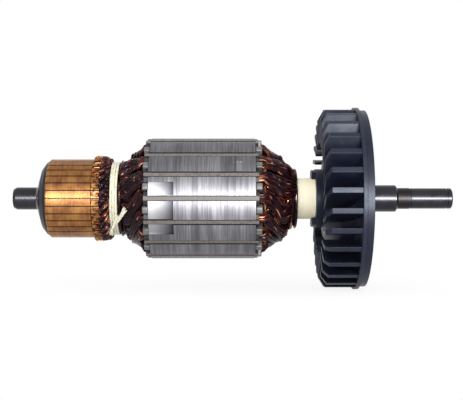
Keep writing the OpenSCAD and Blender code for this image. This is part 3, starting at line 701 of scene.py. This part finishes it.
def varnishedWire():
    material, tree, shader = newMaterial("varnishedWire")
    tone = tree.nodes.new("ShaderNodeAttribute")
    tone.attribute_name = "tone"
    cloud = noiseField(tree, objectCoordinates(tree), varnish["clouds"], 3)
    shift = vary(tree, cloud, -varnish["cloudiness"], varnish["cloudiness"])
    share = mathNode(tree, "ADD", tone.outputs["Fac"], shift)
    tree.links.new(ramp(tree, share, varnish["stops"]), shader.inputs["Base Color"])
    tree.links.new(remap(tree, share, 0.3, 0.8, 0, varnish["bareMetal"]), shader.inputs["Metallic"])
    tree.links.new(vary(tree, cloud, *varnish["roughness"]), shader.inputs["Roughness"])
    shader.inputs["Specular IOR Level"].default_value = varnish["gloss"]
    shader.inputs["Specular Tint"].default_value = varnish["sheenTint"]
    shader.inputs["IOR"].default_value = varnish["ior"]
    fine = noiseField(tree, objectCoordinates(tree), varnish["grain"], 2)
    bump(tree, shader, fine, 0.2, varnish["grainDepth"])
    return material


wireFinish = varnishedWire()
for index in range(slotCount):
    windCoil(index, wireFinish)
print("winding done")


# leads: two wires from every hook down to the neck, among beads of varnish behind the hook
# a station of the route: distance behind the bars, radius, share of the twist, kind of surface
# a bead: distance behind the bars, radius, distance aside, size

leads = {"twist": 14, "wire": 0.5, "apart": 0.5, "spacing": 0.7, "sides": 8, "neckRadius": 14.45, "seed": 3,
         "route": [(-2.55, 18.05, 0.0, "hooked"), (-0.2, 18.05, 0.0, "hooked"), (1.3, 18.3, 0.15, "dark"),
                   (2.9, 17.7, 0.5, "free"), (4.1, 14.45, 1.0, "free")],
         "tones": {"hooked": 0.66, "dark": 0.16, "bare": 0.8}, "scatter": 0.1,
         "bare": (6, 7, 8, 26, 27, 28, 29, 30), "bareWires": 0.75, "noBead": 0.8, "noBeadFrom": 2,
         "beads": [(0.5, 18.3, -0.75, 0.9), (1.3, 18.15, 0.75, 1.0), (3.0, 17.75, 0.1, 1.02),
                   (3.6, 17.3, 1.7, 0.8)],
         "beadScale": (0.8, 1.1), "beadShift": (-0.2, 0.2), "beadTones": (0.05, 0.42),
         "beadRadii": [0.2, 0.68, 0.92, 0.96, 0.74, 0.22], "beadStep": 0.42}
neckRight = winding["ends"][0]["face"] - winding["ends"][0]["length"] - winding["neckGap"]


def runLeads(material):
    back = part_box("commutator_bar_01")[1][0] / mm
    route = leads["route"] + [(neckRight - back, leads["neckRadius"], 1.0, "free")]
    store = startMesh()
    dice = random.Random(leads["seed"])
    for index in range(barCount):
        turn = (index + 0.5) * barPitch
        for side in (-1, 1):
            shade = leads["scatter"] * dice.uniform(-1, 1)
            free = "bare" if index in leads["bare"] and dice.random() < leads["bareWires"] else "dark"
            points = []
            for x, r, share, part in route:
                angle = turn + leads["twist"] * share + side * math.degrees(leads["apart"] / r)
                tone = leads["tones"][free if part == "free" else part] + shade
                points.append(Vector((*onShaft(back + x, r, angle), tone)))
            addTube(store, smoothRoute(points, leads["spacing"]), [leads["wire"]], leads["sides"])
        for x, r, aside, size in leads["beads"]:
            if index in leads["bare"] and x > leads["noBeadFrom"] and dice.random() < leads["noBead"]:
                continue
            size *= dice.uniform(*leads["beadScale"])
            angle = turn + math.degrees((aside + dice.uniform(*leads["beadShift"])) / r)
            tone = dice.uniform(*leads["beadTones"])
            radii = [size * radius for radius in leads["beadRadii"]]
            offsets = [leads["beadStep"] * size * (k - (len(radii) - 1) / 2) for k in range(len(radii))]
            bead = [Vector((*onShaft(back + x + offset, r, angle), tone)) for offset in offsets]
            addTube(store, bead, radii, leads["sides"])
    piece = finishMesh(store, "leadWires", material)
    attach(piece, "root")
    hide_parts("coil_leads")


runLeads(wireFinish)
print("leads done")


# lacing cord: three turns round the neck, a crossing over them, and two frayed ends
# the crossing and the ends: distance from the neck's right edge, height, angle from the knot

cord = {"turns": 3, "width": 1.15, "radius": 0.6, "neck": 15.9, "wander": 0.16, "lift": 0.12,
        "stations": 72, "sides": 8, "spacing": 0.5, "knotAngle": -42, "seed": 11,
        "crossing": [(0.5, 0.35, 14), (-0.9, 0.8, 5), (-2.3, 0.85, -5), (-3.7, 0.35, -14)],
        "ends": [[(-1.7, 0.5, -4), (-0.8, 1.2, 2), (0.9, 2.1, 12), (2.6, 3.3, 22), (4.2, 4.1, 30)],
                 [(-1.2, 0.5, 4), (-2.4, 1.5, -6), (-3.3, 1.8, -15), (-4.0, 1.6, -25)]],
        "strands": 14, "strandRadius": 0.3, "strandSides": 6, "strandSpacing": 0.6, "reach": (0.82, 1),
        "splay": (0.3, 1.1), "fray": (0.6, 0.5)}
cordLook = {"colour": (0.7, 0.67, 0.54), "speck": (0.52, 0.49, 0.36), "roughness": 0.75, "grain": 1100,
            "specular": 0.2}


def cordStation(x, height, angle):
    return Vector((*onShaft(neckRight + x, cord["neck"] + height, cord["knotAngle"] + angle), 0))


def laceNeck(material):
    store = startMesh()
    dice = random.Random(cord["seed"])
    for turn in range(cord["turns"]):
        middle = -(turn + 0.5) * cord["width"]
        route = []
        for k in range(cord["stations"] + 1):
            angle = 360 * k / cord["stations"]
            around = math.radians(cord["knotAngle"] + angle)
            drift = noise.noise(Vector((math.cos(around), math.sin(around), turn)))
            route.append(cordStation(middle + cord["wander"] * drift, cord["lift"] * drift, angle))
        addTube(store, route, [cord["radius"]], cord["sides"])
    crossing = [cordStation(*station) for station in cord["crossing"]]
    addTube(store, smoothRoute(crossing, cord["spacing"]), [cord["radius"]], cord["sides"])
    for points in cord["ends"]:
        for strand in range(cord["strands"]):
            aside, above = dice.uniform(-1, 1), dice.uniform(-1, 1)
            reach = dice.uniform(*cord["reach"])
            route = []
            for i, (x, height, angle) in enumerate(points):
                share = i / (len(points) - 1)
                spread = mix(*cord["splay"], share * share)
                drawn = mix(1, reach, share)
                along, across = (spread * part for part in cord["fray"])
                station = cordStation(x * drawn, height + across * above, angle * drawn)
                route.append(station + Vector((along * aside, 0, -across * aside, 0)))
            strandRoute = smoothRoute(route, cord["strandSpacing"])
            addTube(store, strandRoute, [cord["strandRadius"]], cord["strandSides"])
    piece = finishMesh(store, "lacingTwine", material)
    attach(piece, "root")
    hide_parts("lacing_cord")


laceNeck(plainResin("laceCotton", **cordLook))
print("cord done")


# fan: dark blue-black plastic, rubbed grey at the tips of the blades

fan = {"colour": (0.005, 0.0065, 0.018), "worn": (0.013, 0.0155, 0.032), "clouds": 120, "grain": 2200,
       "rubbed": (0.012, 0.014, 0.028), "rubbedFrom": 0.0392, "rubbedSoft": 0.0008, "grainDepth": 0.00006,
       "tint": (0.8, 0.86, 1, 1), "roughness": (0.36, 0.52), "specular": 0.28, "edge": 0.00035}


def fanPlastic():
    material, tree, shader = newMaterial("fanPlastic")
    cloud = noiseField(tree, objectCoordinates(tree), fan["clouds"], 4)
    grain = noiseField(tree, objectCoordinates(tree), fan["grain"], 2)
    plain = ramp(tree, cloud, [(0.55, fan["colour"]), (0.75, fan["worn"])])
    start = fan["rubbedFrom"]
    outside = remap(tree, axisDistance(tree), start, start + fan["rubbedSoft"], 0, 1)
    rubbed = mathNode(tree, "MULTIPLY", outside, remap(tree, grain, 0.35, 0.65, 0.35, 1))
    tree.links.new(mixColour(tree, rubbed, plain, fan["rubbed"]), shader.inputs["Base Color"])
    tree.links.new(vary(tree, cloud, *fan["roughness"]), shader.inputs["Roughness"])
    shader.inputs["Specular IOR Level"].default_value = fan["specular"]
    shader.inputs["Specular Tint"].default_value = fan["tint"]
    bump(tree, shader, grain, 0.3, fan["grainDepth"], fan["edge"])
    return material


dress("cooling_fan", fanPlastic())
print("materials done")


# floor, light and camera: the floor is white to the camera, and takes a soft shadow near the part

studio = {"floorSize": 6, "floorColour": (0.9, 0.9, 0.9, 1), "floorRoughness": 0.9, "white": 1.0,
          "fill": 0.95, "nearShare": 0.88, "near": 0.03, "far": 0.13, "alongShaft": 0.3,
          "middle": (-0.066, 0, 0), "lens": 77.75, "sensor": 36, "camera": (-0.0665, -0.4515, -0.0007)}
lamps = [
    {"name": "keyLamp", "place": (-0.05, -0.58, 0.25), "aim": studio["middle"], "size": (0.5, 0.4),
     "power": 3.2, "glossy": False},
    {"name": "glintLamp", "place": (0.08, -0.6, 0.0), "aim": studio["middle"], "size": (0.25, 0.08),
     "power": 7.6, "diffuse": False},
    {"name": "journalGlint", "place": (-0.29, -0.6, 0.06), "aim": (-0.15, 0, 0), "size": (0.12, 0.12),
     "power": 2.1, "diffuse": False},
]


def whiteForCamera(tree):
    paths = tree.nodes.new("ShaderNodeLightPath")
    seen = mathNode(tree, "ADD", paths.outputs["Is Camera Ray"], paths.outputs["Is Glossy Ray"])
    seen = mathNode(tree, "ADD", seen, paths.outputs["Is Transmission Ray"])
    return mathNode(tree, "MINIMUM", seen, 1.0)


def addFloor():
    bpy.ops.object.select_all(action="DESELECT")
    bpy.ops.mesh.primitive_plane_add(size=studio["floorSize"], location=(0, 0, cadBox[0][2]))
    floor = bpy.context.object
    floor.name = "floor"
    material, tree, shader = newMaterial("paleFloor")
    shader.inputs["Base Color"].default_value = studio["floorColour"]
    shader.inputs["Roughness"].default_value = studio["floorRoughness"]
    shader.inputs["Specular IOR Level"].default_value = 0.0
    glow = addNode(tree, "ShaderNodeEmission", Strength=1.0)
    blend = tree.nodes.new("ShaderNodeMixShader")
    distance = axisDistance(tree, (studio["alongShaft"], 1, 1))
    share = remap(tree, distance, studio["near"], studio["far"], studio["nearShare"], 1)
    tree.links.new(mathNode(tree, "MULTIPLY", whiteForCamera(tree), share), blend.inputs[0])
    tree.links.new(shader.outputs[0], blend.inputs[1])
    tree.links.new(glow.outputs[0], blend.inputs[2])
    tree.links.new(blend.outputs[0], tree.nodes["Material Output"].inputs["Surface"])
    floor.data.materials.append(material)


def setWorld():
    world = bpy.data.worlds.new("whiteTent")
    scene.world = world
    world.use_nodes = True
    tree = world.node_tree
    background = tree.nodes["Background"]
    background.inputs["Color"].default_value = (1, 1, 1, 1)
    strength = remap(tree, whiteForCamera(tree), 0, 1, studio["fill"], studio["white"])
    tree.links.new(strength, background.inputs["Strength"])


def addLamp(name, place, aim, size, power, diffuse=True, glossy=True):
    lamp = bpy.data.lights.new(name, "AREA")
    lamp.shape = "RECTANGLE"
    lamp.size, lamp.size_y = size
    lamp.energy = power
    holder = bpy.data.objects.new(name, lamp)
    scene.collection.objects.link(holder)
    holder.location = place
    holder.rotation_euler = (Vector(aim) - Vector(place)).to_track_quat("-Z", "Y").to_euler()
    holder.visible_diffuse, holder.visible_glossy = diffuse, glossy


def addCamera():
    camera = bpy.data.cameras.new("camera")
    camera.lens = studio["lens"]
    camera.sensor_width = studio["sensor"]
    camera.clip_end = 20
    holder = bpy.data.objects.new("camera", camera)
    scene.collection.objects.link(holder)
    holder.location = studio["camera"]
    holder.rotation_euler = (math.radians(90), 0, 0)
    scene.camera = holder


addFloor()
setWorld()
for lamp in lamps:
    addLamp(**lamp)
addCamera()
scene.view_settings.view_transform = "Standard"
print("studio done")
